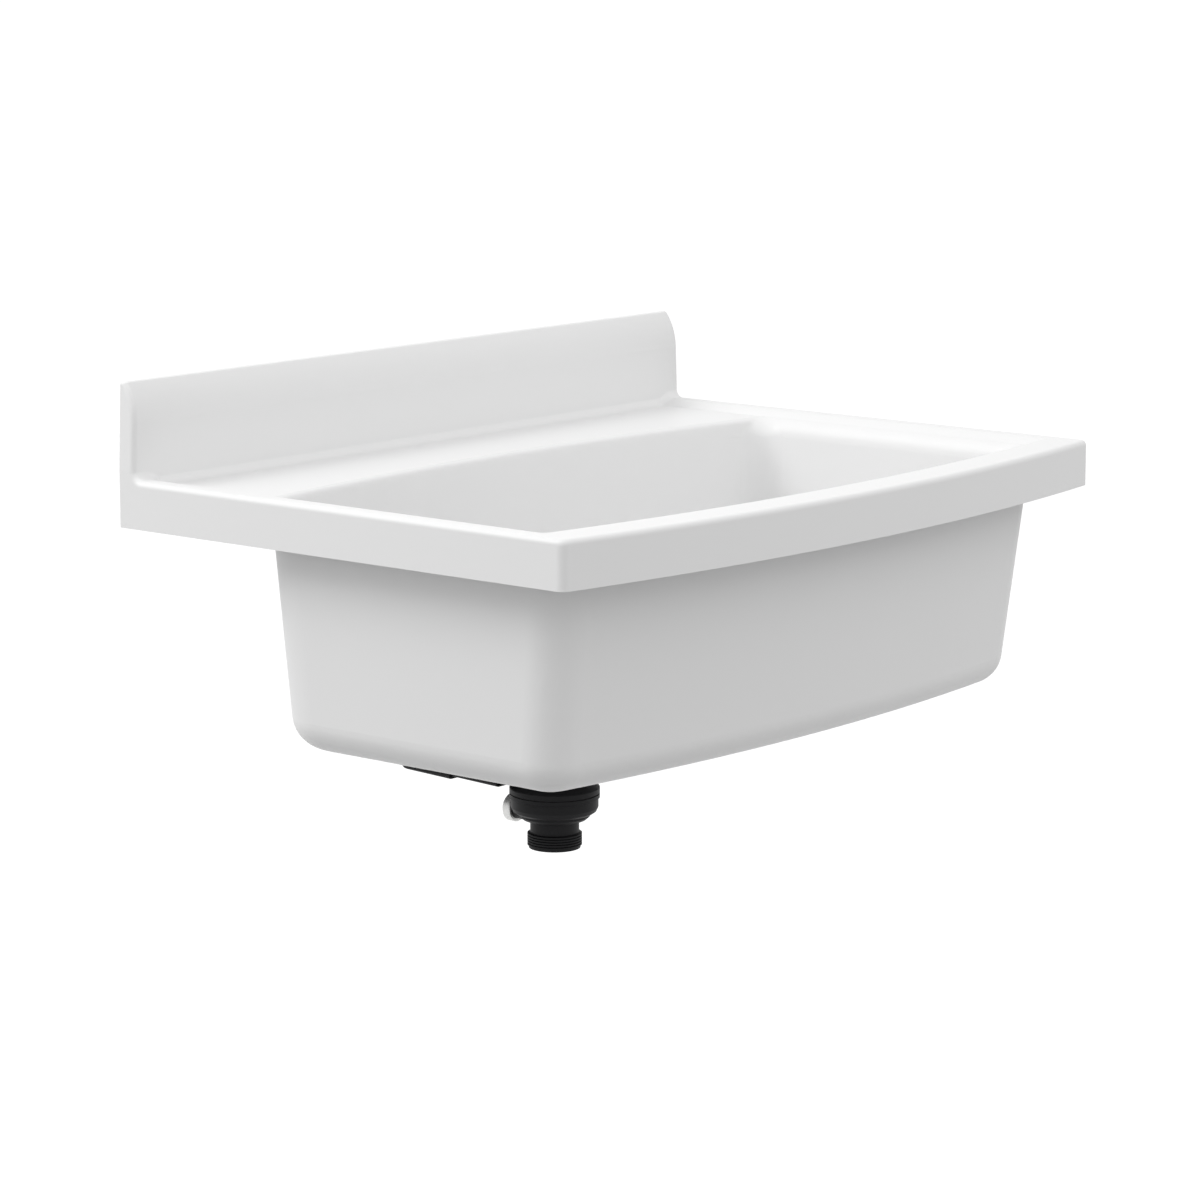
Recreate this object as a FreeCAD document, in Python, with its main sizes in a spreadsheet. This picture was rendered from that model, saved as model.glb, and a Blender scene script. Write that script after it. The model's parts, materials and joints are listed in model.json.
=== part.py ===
import FreeCAD, Part
import math
import os
import re
import Sketcher
from FreeCAD import Placement, Rotation, Vector

# A wall-hung utility sink of moulded plastic, with its basket waste and overflow.
# X runs along the wall, Y into the wall and Z up. The origin lies on the wall face,
# midway along the sink, level with the top of the rim. The front faces -Y.
# Lengths are millimetres and angles are degrees.

SIZES = {
    # rim and apron
    "rim_width": 750.0,
    "side_length": 503.0,
    "front_bow": 33.0,
    "rim_height": 42.0,
    "rim_corner": 8.0,
    "rim_edge": 5.0,
    "skirt_wall": 5.0,
    "rim_crown": 14.0,
    # borders round the bowl
    "side_land": 14.0,
    "side_roll": 25.0,
    "front_land": 35.0,
    "front_lip": 5.0,
    "ledge_drop": 6.0,
    "ledge_depth": 117.0,
    "back_lip": 5.5,
    "corner_top": 8.0,
    # upstand against the wall
    "upstand_height": 85.0,
    "upstand_wall": 17.0,
    "upstand_crest": 56.0,
    "upstand_ridge": 5.0,
    "ridge_edge": 3.0,
    "upstand_lean": 3.0,
    "upstand_edge": 5.0,
    "upstand_root": 10.0,
    "upstand_cove": 9.0,
    "cove_sink": 0.15,
    # bowl
    "bowl_depth": 221.5,
    "bowl_wall": 5.5,
    "bowl_corner": 31.0,
    "bowl_heel": 25.0,
    "back_wall": 6.0,
    "back_corner": 56.0,
    "side_draft": 3.5,
    "front_draft": 6.6,
    # wall bolts through the rear skirt
    "bolt_spacing": 560.0,
    "bolt_drop": 27.0,
    "bolt_hole": 4.5,
    # drain place, measured from the middle and from the wall
    "drain_left": 150.0,
    "drain_out": 302.0,
    "hole_gap": 1.5,
    "drain_recess": 2.5,
    "recess_gap": 3.0,
    "drain_boss": 3.5,
    "boss_margin": 9.0,
    # waste cup and its seals
    "flange_width": 13.5,
    "cup_radius": 29.5,
    "cup_sheet": 1.2,
    "cup_depth": 33.0,
    "cup_port": 4.5,
    "cup_port_pitch": 17.0,
    "seal_height": 1.2,
    "seal_width": 11.0,
    "gasket_height": 3.0,
    "gasket_gap": 0.5,
    "gasket_width": 8.0,
    # waste body
    "body_gap": 2.0,
    "body_wall": 3.0,
    "body_flange": 3.5,
    "body_height": 28.0,
    "cone_height": 4.7,
    "ring_bevel": 0.8,
    "ring_height": 4.2,
    "ring_step": 5.0,
    "skirt_height": 11.3,
    "bridge_width": 9.0,
    "bridge_height": 6.0,
    "bridge_boss": 8.0,
    "boss_height": 6.9,
    # centre screw and its nut
    "screw_radius": 3.0,
    "screw_head": 6.0,
    "screw_head_height": 3.5,
    "screw_length": 17.0,
    "screw_slot": 1.4,
    "screw_hole": 3.3,
    "nut_flats": 10.0,
    "nut_height": 5.0,
    "nut_bore": 3.05,
    # outlet below the waste body
    "union_gap": 1.0,
    "union_clearance": 0.3,
    "outlet_grip": 3.5,
    "outlet_inset": 1.25,
    "outlet_height": 11.8,
    "shoulder_height": 6.5,
    "step_inset": 7.25,
    "step_height": 1.8,
    "funnel_height": 4.7,
    "neck_wall": 2.4,
    "neck_height": 9.5,
    "thread_height": 14.0,
    "thread_radius": 23.9,
    "thread_pitch": 2.309,
    "thread_depth": 1.3,
    "pipe_wall": 3.6,
    # spigot and its blanking cap
    "spigot_drop": 19.6,
    "spigot_radius": 9.5,
    "spigot_bore": 6.5,
    "spigot_reach": 8.75,
    "spigot_disc": 2.0,
    "cap_radius": 12.5,
    "cap_length": 9.0,
    "cap_end_wall": 2.0,
    "cap_bevel": 1.6,
    "cap_clearance": 0.2,
    # strainer basket
    "basket_gap": 1.3,
    "basket_lip": 6.0,
    "basket_sheet": 0.8,
    "basket_depth": 24.0,
    "basket_slot": 3.0,
    "basket_slot_height": 13.0,
    "basket_seal_inset": 3.0,
    "basket_seal_gap": 2.0,
    "knob_radius": 9.0,
    "knob_stem": 3.0,
    "knob_height": 8.0,
    "knob_rise": 6.0,
    "lift_clearance": 0.3,
    # flat overflow duct under the bowl
    "duct_spread": 4.7,
    "duct_wall": 1.8,
    "duct_clearance": 0.3,
    "duct_taper_share": 0.025,
    "duct_drop": 9.4,
    "duct_height": 19.7,
    "duct_round": 3.0,
    "stub_root": 12.0,
    "stub_reach": 9.5,
    "duct_lap": 13.0,
    "front_duct_share": 0.517,
    "rear_duct_share": 0.784,
    "rear_duct_corner": 13.0,
    "notch_gap": 4.5,
    # riser and elbow behind the bowl
    "riser_half_width": 26.0,
    "riser_depth": 18.0,
    "riser_wall": 2.0,
    "riser_lap": 12.0,
    "elbow_wall": 2.0,
    "elbow_height": 36.0,
    "elbow_round": 10.0,
    "elbow_lap": 8.0,
    # overflow inlet in the back wall
    "overflow_drop": 80.0,
    "overflow_hole": 17.0,
    "overflow_rise": 1.5,
    "overflow_seat_width": 9.0,
    "overflow_seat_depth": 1.8,
    "overflow_boss_step": 2.0,
    "overflow_seal_height": 2.0,
    "head_flange_step": 2.0,
    "head_flange_height": 3.0,
    "head_rise": 24.0,
    "head_fall": 37.0,
    "head_wall": 2.4,
    "head_post": 5.0,
    "head_bore": 2.0,
    "grille_gap": 1.0,
    "grille_sheet": 1.4,
    "grille_dome": 2.2,
    "grille_port": 3.2,
    "grille_port_pitch": 13.0,
    "overflow_screw": 1.9,
    "overflow_screw_head": 4.6,
    "overflow_screw_rise": 2.2,
    "overflow_screw_reach": 16.0,
    # running past a surface when cutting
    "overrun": 2.0,
}

# Angles, in degrees, at which the rounded borders are sectioned.
FRONT_LIP_ANGLES = (12, 24, 36, 48, 60, 75, 90)
BACK_LIP_ANGLES = (12, 24, 40, 60, 80)
ROLL_ANGLES = (58, 66, 74, 82)
END_ANGLES = (90, 75, 60, 45, 30, 15, 0)
COVE_SHARES = (0.25, 0.5, 0.75, 1)
CUP_PORTS = 8
BASKET_SLOTS = 16
GRILLE_PORTS = 10
THREAD_RIDGES = 5
THREAD_RIDGE_SHARES = (
    ("thread_radius - thread_depth", 0.25),
    ("thread_radius", 0.45),
    ("thread_radius", 0.95),
    ("thread_radius - thread_depth", 1.15),
)

doc = FreeCAD.newDocument("utility_sink")
sheet = doc.addObject("Spreadsheet::Sheet", "Sizes")
for row, alias in enumerate(SIZES, start=1):
    sheet.set("A%d" % row, alias.replace("_", " "))
    sheet.set("B%d" % row, "%r" % SIZES[alias])
    sheet.setAlias("B%d" % row, alias)
doc.recompute()


def size(alias):
    """Read one driving size back from the sheet, or work out one that follows from them."""
    return number(alias) if alias in FITS else float(sheet.get(alias))


def bound(text):
    """Point each size that an expression names at its cell, or at what it follows from."""
    def cell(word):
        name = word.group(0)
        if name in FITS:
            return "(" + bound(FITS[name]) + ")"
        return "Sizes." + name if name in SIZES else name
    return re.sub(r"[a-z_]+", cell, text)


def number(text):
    """Work an expression out, for the first drawing of a sketch."""
    value = sheet.evalExpression(bound(text))
    return float(getattr(value, "Value", value))


# Levels and places that several pieces share, as expressions of the sizes.
SEAT = "(-bowl_depth - drain_recess)"
CUP_TOP = "(-bowl_depth - drain_recess + seal_height + cup_sheet)"
CUP_FLOOR = "(-bowl_depth - drain_recess + seal_height + 2 * cup_sheet - cup_depth)"
BOSS_FACE = "(-bowl_depth - bowl_wall - drain_boss)"
BODY_TOP = "(-bowl_depth - bowl_wall - drain_boss - gasket_height)"
BRIDGE_FOOT = "(%s - cup_sheet - boss_height)" % CUP_FLOOR
CONE_TOP = "(%s - body_height)" % BODY_TOP
CONE_FOOT = "(%s - cone_height)" % CONE_TOP
RING_TOP = "(%s - ring_bevel)" % CONE_FOOT
RING_FOOT = "(%s - ring_height)" % RING_TOP
SKIRT_FOOT = "(%s - skirt_height)" % RING_FOOT
OUTLET_TOP = "(%s - union_gap)" % RING_FOOT
OUTLET_SHOULDER = "(%s - outlet_height)" % OUTLET_TOP
STEP_TOP = "(%s - shoulder_height)" % OUTLET_SHOULDER
STEP_FOOT = "(%s - step_height)" % STEP_TOP
NECK_TOP = "(%s - funnel_height)" % STEP_FOOT
THREAD_TOP = "(%s - neck_height)" % NECK_TOP
THREAD_FOOT = "(%s - thread_height)" % THREAD_TOP
SPIGOT_LEVEL = "(%s - spigot_drop)" % OUTLET_TOP
DUCT_ROOF = "(%s - duct_drop)" % BODY_TOP
DUCT_FLOOR = "(%s - duct_height)" % DUCT_ROOF
BASKET_TOP = "(-bowl_depth - drain_recess + seal_height + cup_sheet + lift_clearance)"
LAP = "(duct_wall + duct_clearance)"
BOW = "((rim_width ^ 2 / 4 + front_bow ^ 2) / (2 * front_bow))"
INLET_IN = (
    "(back_lip * cos(side_draft * 1 deg) + tan(side_draft * 1 deg)"
    " * (overflow_drop - ledge_drop - back_lip * (1 - sin(side_draft * 1 deg))))"
)
INLET = "(sqrt((%s - %s) ^ 2 - drain_left ^ 2) - %s - ledge_depth)" % (BOW, INLET_IN, BOW)
RISER_FRONT = "(%s + overflow_boss + overflow_seal_height + head_flange_height + duct_clearance)" % INLET
ELBOW_FOOT = "(%s - duct_wall)" % DUCT_FLOOR

# Sizes that follow from the driving ones, so that neighbours keep fitting each other.
FITS = {
    "bowl_back": "ledge_depth + back_lip - back_wall",
    "drain_hole": "cup_radius + hole_gap",
    "cup_flange": "cup_radius + flange_width",
    "recess_radius": "cup_flange + recess_gap",
    "body_bore": "cup_radius + body_gap",
    "body_radius": "body_bore + body_wall",
    "ring_radius": "body_radius + ring_step",
    "gasket_bore": "body_bore + gasket_gap",
    "gasket_radius": "gasket_bore + gasket_width",
    "boss_radius": "gasket_radius + boss_margin",
    "union_seal_radius": "ring_radius - 2 * union_gap",
    "outlet_bore": "body_radius + union_clearance",
    "outlet_radius": "ring_radius - outlet_inset",
    "outlet_step": "outlet_radius - step_inset",
    "pipe_bore": "thread_radius - thread_depth - pipe_wall",
    "neck_radius": "pipe_bore + neck_wall",
    "spigot_end": "outlet_radius + spigot_reach",
    "basket_radius": "cup_radius - cup_sheet - basket_gap",
    "basket_rim": "basket_radius + basket_lip",
    "basket_seal_radius": "basket_radius - basket_seal_inset",
    "basket_seal_bore": "screw_head + basket_seal_gap",
    "duct_half_width": "body_radius + duct_spread",
    "duct_notch": "body_radius + notch_gap",
    "stub_start": "drain_out - stub_root",
    "stub_end": "drain_out - body_radius - stub_reach",
    "duct_run": "drain_out + " + RISER_FRONT,
    "front_duct_mouth": "stub_end + duct_lap",
    "front_duct_tail": "drain_out - front_duct_share * duct_run",
    "rear_duct_mouth": "front_duct_tail + duct_lap",
    "rear_duct_tail": "drain_out - rear_duct_share * duct_run",
    "overflow_boss": "-bowl_back - " + INLET,
    "overflow_seat": "overflow_hole + overflow_seat_width",
    "head_flange": "overflow_seat + head_flange_step",
    "overflow_boss_radius": "head_flange + overflow_boss_step",
    "grille_radius": "overflow_seat - grille_gap",
    "overflow_screw_length": "overflow_boss + overflow_screw_reach",
}


# Sketching and modelling helpers

def plane_of(body, role):
    return next(item for item in body.Origin.OriginFeatures if item.Role == role)


def new_body(name):
    body = doc.addObject("PartDesign::Body", name)
    body.Label = name
    return body


def new_sketch(body, role, level):
    """Add an empty sketch on an origin plane, shifted along the plane's normal."""
    sketch = body.newObject("Sketcher::SketchObject", body.Name + "_sketch")
    sketch.AttachmentSupport = [(plane_of(body, role), "")]
    sketch.MapMode = "FlatFace"
    sketch.setExpression("AttachmentOffset.Base.z", bound(level))
    return sketch


def pin_point(sketch, geometry, vertex, across, along):
    """Fix one point of a sketch by two expressions."""
    for kind, axis, text in (("DistanceX", -2, across), ("DistanceY", -1, along)):
        value = number(text)
        if text == "0":
            sketch.addConstraint(Sketcher.Constraint("PointOnObject", geometry, vertex, axis))
            continue
        index = sketch.addConstraint(Sketcher.Constraint(kind, -1, 1, geometry, vertex, value))
        sketch.setExpression("Constraints[%d]" % index, bound(text))


def draw_outline(sketch, points):
    """Draw a closed outline of straight edges through points given as expressions."""
    spots = [Vector(number(across), number(along), 0) for across, along in points]
    count = len(spots)
    for index, spot in enumerate(spots):
        sketch.addGeometry(Part.LineSegment(spot, spots[(index + 1) % count]), False)
    for index in range(count):
        following = (index + 1) % count
        sketch.addConstraint(Sketcher.Constraint("Coincident", index, 2, following, 1))
    for index, (across, along) in enumerate(points):
        pin_point(sketch, index, 1, across, along)


def draw_circle(sketch, across, along, radius):
    centre = Vector(number(across), number(along), 0)
    index = sketch.addGeometry(Part.Circle(centre, Vector(0, 0, 1), number(radius)), False)
    pin_point(sketch, index, 3, across, along)
    limit = sketch.addConstraint(Sketcher.Constraint("Radius", index, number(radius)))
    sketch.setExpression("Constraints[%d]" % limit, bound(radius))


def outline_sketch(body, role, level, points):
    sketch = new_sketch(body, role, level)
    draw_outline(sketch, points)
    return sketch


def circle_sketch(body, role, level, across, along, radius):
    sketch = new_sketch(body, role, level)
    draw_circle(sketch, across, along, radius)
    return sketch


def box_points(left, right, low, high):
    return [(left, low), (right, low), (right, high), (left, high)]


def add_turn(body, points):
    """Turn a profile of (radius, height) points about the body's Z axis."""
    sketch = outline_sketch(body, "XZ_Plane", "0", points)
    turn = body.newObject("PartDesign::Revolution", body.Name + "_turn")
    turn.Profile = sketch
    turn.ReferenceAxis = (sketch, ["V_Axis"])
    turn.Angle = 360.0
    doc.recompute()
    return turn


def cut_turn(body, points):
    sketch = outline_sketch(body, "XZ_Plane", "0", points)
    turn = body.newObject("PartDesign::Groove", body.Name + "_groove")
    turn.Profile = sketch
    turn.ReferenceAxis = (sketch, ["V_Axis"])
    turn.Angle = 360.0
    doc.recompute()
    return turn


def add_pad(body, sketch, length, reverse=False):
    pad = body.newObject("PartDesign::Pad", body.Name + "_pad")
    pad.Profile = sketch
    pad.setExpression("Length", bound(length))
    pad.Reversed = reverse
    doc.recompute()
    return pad


def cut_pocket(body, sketch, length, reverse=False):
    """Cut a pocket, and make sure that it takes something away."""
    before = body.Shape.Volume
    pocket = body.newObject("PartDesign::Pocket", body.Name + "_pocket")
    pocket.Profile = sketch
    pocket.setExpression("Length", bound(length))
    pocket.Reversed = reverse
    doc.recompute()
    if body.Shape.Volume >= before:
        raise RuntimeError(body.Name + ": a pocket cuts nothing")
    return pocket


def repeat_round(body, feature, count):
    """Repeat a feature round the body's Z axis."""
    pattern = body.newObject("PartDesign::PolarPattern", body.Name + "_ring")
    pattern.Originals = [feature]
    axis = plane_of(body, "Z_Axis")
    pattern.Axis = (axis, [""])
    pattern.Angle = 360.0
    pattern.Occurrences = count
    body.Tip = pattern
    doc.recompute()
    return pattern


def add_loft(body, sections, kind="PartDesign::AdditiveLoft"):
    loft = body.newObject(kind, body.Name + "_loft")
    loft.Profile = sections[0]
    loft.Sections = sections[1:]
    loft.Ruled = True
    doc.recompute()
    return loft


def round_edges(body, radius, wanted):
    """Round the edges of the body's tip that a test picks out."""
    base = body.Tip
    names = ["Edge%d" % (index + 1) for index, edge in enumerate(base.Shape.Edges) if wanted(edge)]
    fillet = body.newObject("PartDesign::Fillet", body.Name + "_round")
    fillet.Base = (base, names)
    fillet.setExpression("Radius", bound(radius))
    doc.recompute()
    return fillet


def edge_run(edge, axis):
    """How far an edge runs along X, Y or Z, as a share of its own length."""
    first, last = edge.Vertexes[0].Point, edge.Vertexes[-1].Point
    return abs((last - first)[axis]) / edge.Length


def stand_on_drain(body):
    body.setExpression("Placement.Base.x", bound("-drain_left"))
    body.setExpression("Placement.Base.y", bound("-drain_out"))
    return body


# Basin: rim, apron, ledge, upstand and bowl in one moulding

def bow_radius():
    return number(BOW)


def rounded_offset(depth, radius, draft):
    """How far a wall with a rounded top edge stands in at a depth below that edge."""
    slope = math.radians(draft)
    tangent_depth = radius * (1 - math.sin(slope))
    if depth < tangent_depth:
        return math.sqrt(max(0, radius ** 2 - (radius - depth) ** 2))
    return radius * math.cos(slope) + (depth - tangent_depth) * math.tan(slope)


def plain_offset(depth, radius, draft):
    """The same wall carried straight up past its rounded edge."""
    slope = math.radians(draft)
    tangent_depth = radius * (1 - math.sin(slope))
    return radius * math.cos(slope) + (depth - tangent_depth) * math.tan(slope)


def inner_corner(depth):
    """Plan radius of the bowl's corner, which opens out below the rim."""
    share = min(1, depth / size("side_roll"))
    spread = size("bowl_corner") - size("corner_top")
    return size("corner_top") + spread * math.sin(share * math.pi / 2)


def corner_arc(side, half_width, radius, centre_y, arc_radius, toward_wall, level):
    """An arc that joins a side line to a bowed edge: its ends and its middle."""
    run = math.sqrt((arc_radius - radius) ** 2 - (half_width - radius) ** 2)
    middle = Vector(side * (half_width - radius), centre_y + toward_wall * run, level)
    on_line = Vector(side * half_width, middle.y, level)
    out = middle - Vector(0, centre_y, level)
    out.normalize()
    on_bow = middle + out * radius
    halfway = Vector(side, 0, 0) + out
    halfway.normalize()
    return on_line, middle + halfway * radius, on_bow


def bowl_front(depth, offset, corner, wall):
    """The bowl's bowed front at a depth below the rim, grown by a wall: half width, ends and edges."""
    level = -depth
    bow = bow_radius()
    side_in = offset(depth, size("side_roll"), size("side_draft"))
    half_width = size("rim_width") / 2 - size("side_land") - side_in + wall
    centre = bow - size("side_length") - size("front_bow")
    front_in = offset(depth, size("front_lip"), size("front_draft"))
    radius = bow - size("front_land") - front_in + wall
    left = corner_arc(-1, half_width, corner + wall, centre, radius, -1, level)
    right = corner_arc(1, half_width, corner + wall, centre, radius, -1, level)
    edges = [
        Part.Arc(left[0], left[1], left[2]).toShape(),
        Part.Arc(left[2], Vector(0, centre - radius, level), right[2]).toShape(),
        Part.Arc(right[2], right[1], right[0]).toShape(),
    ]
    return half_width, left[0], right[0], edges


def bowl_section(depth, offset, corner, ledge_side=False):
    """The bowl's inner plan outline at a depth below the rim."""
    level = -depth
    half_width, left, right, edges = bowl_front(depth, offset, corner, 0)
    if ledge_side:
        back_y = -size("upstand_wall")
        corners = [right, Vector(half_width, back_y, level), Vector(-half_width, back_y, level), left]
        for first, last in zip(corners, corners[1:]):
            edges.append(Part.LineSegment(first, last).toShape())
        return Part.Wire(edges)
    bow = bow_radius()
    centre = -size("ledge_depth") - bow
    radius = bow - offset(depth - size("ledge_drop"), size("back_lip"), size("side_draft"))
    far_right = corner_arc(1, half_width, corner, centre, radius, 1, level)
    far_left = corner_arc(-1, half_width, corner, centre, radius, 1, level)
    edges += [
        Part.LineSegment(right, far_right[0]).toShape(),
        Part.Arc(far_right[0], far_right[1], far_right[2]).toShape(),
        Part.Arc(far_right[2], Vector(0, centre + radius, level), far_left[2]).toShape(),
        Part.Arc(far_left[2], far_left[1], far_left[0]).toShape(),
        Part.LineSegment(far_left[0], left).toShape(),
    ]
    return Part.Wire(edges)


def core_section(depth):
    """The bowl's outer plan outline at a depth below the rim, which is straight behind."""
    level = -depth
    half_width, left, right, edges = bowl_front(depth, plain_offset, size("bowl_corner"), size("bowl_wall"))
    corner = size("back_corner")
    back_y = -size("bowl_back") - depth * math.tan(math.radians(size("side_draft")))
    bend = corner * (1 - math.sqrt(0.5))
    near_right = Vector(half_width, back_y - corner, level)
    near_left = Vector(-half_width, back_y - corner, level)
    far_right = Vector(half_width - corner, back_y, level)
    far_left = Vector(corner - half_width, back_y, level)
    edges += [
        Part.LineSegment(right, near_right).toShape(),
        Part.Arc(near_right, Vector(half_width - bend, back_y - bend, level), far_right).toShape(),
        Part.LineSegment(far_right, far_left).toShape(),
        Part.Arc(far_left, Vector(bend - half_width, back_y - bend, level), near_left).toShape(),
        Part.LineSegment(near_left, left).toShape(),
    ]
    return Part.Wire(edges)


def flat_edges(shape, level):
    """The edges of a shape that lie in one level."""
    found = []
    for edge in shape.Edges:
        box = edge.BoundBox
        if max(abs(box.ZMin - level), abs(box.ZMax - level)) < 1e-6 * size("rim_width"):
            found.append(edge)
    return found


def bowl_core(top, floor):
    """The bowl's outside as a solid block with drafted walls and a rounded heel."""
    block = Part.makeLoft([core_section(depth) for depth in (top, floor)], True, True)
    return block.makeFillet(size("bowl_heel") + size("bowl_wall"), flat_edges(block, -floor))


def bowl_hollow():
    """Blocks that fill all that is open above the ledge and inside the bowl."""
    lip = size("front_lip")
    drop = size("ledge_drop")
    roll = size("side_roll")
    depths = [lip * (1 - math.cos(math.radians(angle))) for angle in FRONT_LIP_ANGLES] + [drop]
    upper = [bowl_section(depth, rounded_offset, inner_corner(depth), True) for depth in depths]
    back_lip = size("back_lip")
    depths = [drop + back_lip * (1 - math.cos(math.radians(angle))) for angle in BACK_LIP_ANGLES]
    depths += [roll * (1 - math.cos(math.radians(angle))) for angle in ROLL_ANGLES]
    depths.append(roll * (1 - math.sin(math.radians(size("side_draft")))))
    middle = [bowl_section(depth, rounded_offset, inner_corner(depth)) for depth in sorted(depths)]
    corner = inner_corner(max(depths))
    sections = [bowl_section(max(depths), rounded_offset, corner)]
    sections.append(bowl_section(size("bowl_depth"), rounded_offset, size("bowl_corner")))
    lower = Part.makeLoft(sections, True, True)
    lower = lower.makeFillet(size("bowl_heel"), flat_edges(lower, -size("bowl_depth")))
    return [
        slab(upper[0], size("overrun")),
        Part.makeLoft(upper, True, False),
        slab(middle[0], size("ledge_drop") / 2),
        Part.makeLoft(middle, True, False),
        lower,
    ]


def rim_plan(inset, level, corner):
    """The rim's outline from above, with its bowed front."""
    half_width = size("rim_width") / 2 - inset
    bow = bow_radius()
    centre = bow - size("side_length") - size("front_bow")
    left = corner_arc(-1, half_width, corner, centre, bow - inset, -1, level)
    right = corner_arc(1, half_width, corner, centre, bow - inset, -1, level)
    far_left = Vector(-half_width, -inset, level)
    far_right = Vector(half_width, -inset, level)
    return Part.Wire([
        Part.Arc(left[0], left[1], left[2]).toShape(),
        Part.Arc(left[2], Vector(0, centre - bow + inset, level), right[2]).toShape(),
        Part.Arc(right[2], right[1], right[0]).toShape(),
        Part.LineSegment(right[0], far_right).toShape(),
        Part.LineSegment(far_right, far_left).toShape(),
        Part.LineSegment(far_left, left[0]).toShape(),
    ])


def slab(wire, height):
    return Part.Face(wire).extrude(Vector(0, 0, height))


def rim_slab():
    """The solid rim, with its top outer edge rounded on the three free sides."""
    block = slab(rim_plan(0, -size("rim_height"), size("rim_corner")), size("rim_height"))
    free = [edge for edge in flat_edges(block, 0) if edge.BoundBox.YMin < -size("upstand_wall")]
    return block.makeFillet(size("rim_edge"), free)


def underside():
    """The hollow under the rim, outside the bowl."""
    height = size("rim_height") - size("rim_crown")
    wire = rim_plan(size("skirt_wall"), -size("rim_height"), size("rim_corner"))
    return slab(wire, height)


def upstand_profile():
    """The upstand's end view: upright in front, with a crest that runs back to a narrow ridge."""
    crest = size("upstand_crest")
    wall = size("upstand_wall")
    ridge = size("upstand_ridge")
    foot = -size("upstand_root")
    top = size("upstand_height")
    x = -size("rim_width") / 2
    reach = crest - wall + ridge
    start = top - math.sqrt(crest ** 2 - reach ** 2)
    turn = (math.pi + math.acos(-reach / crest)) / 2
    bend = Vector(x, crest - wall + crest * math.cos(turn), start + crest * math.sin(turn))
    corners = [Vector(x, -ridge, top), Vector(x, 0, top), Vector(x, 0, foot), Vector(x, -wall, foot),
               Vector(x, -wall, start)]
    edges = [Part.LineSegment(first, last).toShape() for first, last in zip(corners, corners[1:])]
    edges.append(Part.Arc(corners[-1], bend, corners[0]).toShape())
    return Part.Wire(edges)


def upstand():
    """The upstand, with ends that lean in a little above the cove and soft front edges."""
    half = size("rim_width") / 2
    top = size("upstand_height")
    foot = -size("upstand_root")
    front = -size("upstand_wall")
    spots = [(half, foot), (half, size("upstand_cove")), (half - size("upstand_lean"), top)]
    spots += [(-across, level) for across, level in reversed(spots)]
    view = [Vector(across, front, level) for across, level in spots]
    trim = Part.Face(Part.makePolygon(view + view[:1])).extrude(Vector(0, -front, 0))
    block = Part.Face(upstand_profile()).extrude(Vector(2 * half, 0, 0)).common(trim)
    block = block.makeFillet(size("upstand_edge"), [edge for edge in block.Edges if upstand_end(edge)])
    ridge = [edge for edge in flat_edges(block, top) if edge.BoundBox.YMax < -size("upstand_ridge") / 2]
    return block.makeFillet(size("ridge_edge"), ridge)


def upstand_end(edge):
    """The edges where the upstand's front and crest meet its ends."""
    box = edge.BoundBox
    tiny = 1e-6 * size("rim_width")
    short = box.XLength < size("rim_width") / 2
    in_front = box.YMin < -tiny and box.YMax - box.YMin < size("upstand_wall") + tiny
    rises = box.ZLength > tiny
    return short and in_front and rises


def drum(radius, low, high):
    """An upright cylinder on the drain's axis."""
    place = Vector(-size("drain_left"), -size("drain_out"), low)
    return Part.makeCylinder(radius, high - low, place)


def overflow_drum(radius, front, back):
    """A cylinder on the overflow's axis, from so far in front of the wall to so far behind."""
    spot = Vector(-size("drain_left"), number(INLET) - front, -size("overflow_drop"))
    return Part.makeCylinder(radius, front + back, spot, Vector(0, 1, 0))


def cove_section(across, level, inset):
    """The cove's outline at one place along the wall, sunk a little into its neighbours."""
    reach = size("upstand_cove")
    radius = reach + inset
    middle_y = size("cove_sink") - size("upstand_wall") - reach
    middle_z = level + reach - size("cove_sink")
    lean = radius * math.sqrt(0.5)
    low = Vector(across, middle_y, middle_z - radius)
    bend = Vector(across, middle_y + lean, middle_z - lean)
    high = Vector(across, middle_y + radius, middle_z)
    back = -size("upstand_wall") / 2
    root = level - size("rim_crown") / 2
    corners = [high, Vector(across, back, middle_z), Vector(across, back, root),
               Vector(across, middle_y, root), low]
    edges = [Part.Arc(low, bend, high).toShape()]
    for first, last in zip(corners, corners[1:]):
        edges.append(Part.LineSegment(first, last).toShape())
    return Part.Wire(edges)


def cove_stations():
    """Where the cove is sectioned on one half, with the level and the inset of its end."""
    half = size("rim_width") / 2
    edge = size("upstand_edge")
    roll = size("side_roll")
    land = half - size("side_land")
    stations = []
    for angle in END_ANGLES:
        turn = math.radians(angle)
        stations.append((half - edge * (1 - math.sin(turn)), 0, edge * (1 - math.cos(turn))))
    stations.append((land, 0, 0))
    last = math.acos(1 - size("ledge_drop") / roll)
    for share in COVE_SHARES:
        turn = last * share
        stations.append((land - roll * math.sin(turn), roll * (math.cos(turn) - 1), 0))
    return stations


def upstand_cove():
    """The rounded foot of the upstand, which dips with the ledge between the side borders."""
    right = cove_stations()
    left = [(-across, level, inset) for across, level, inset in reversed(right)]
    return Part.makeLoft([cove_section(*station) for station in right + left], True, True)


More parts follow.
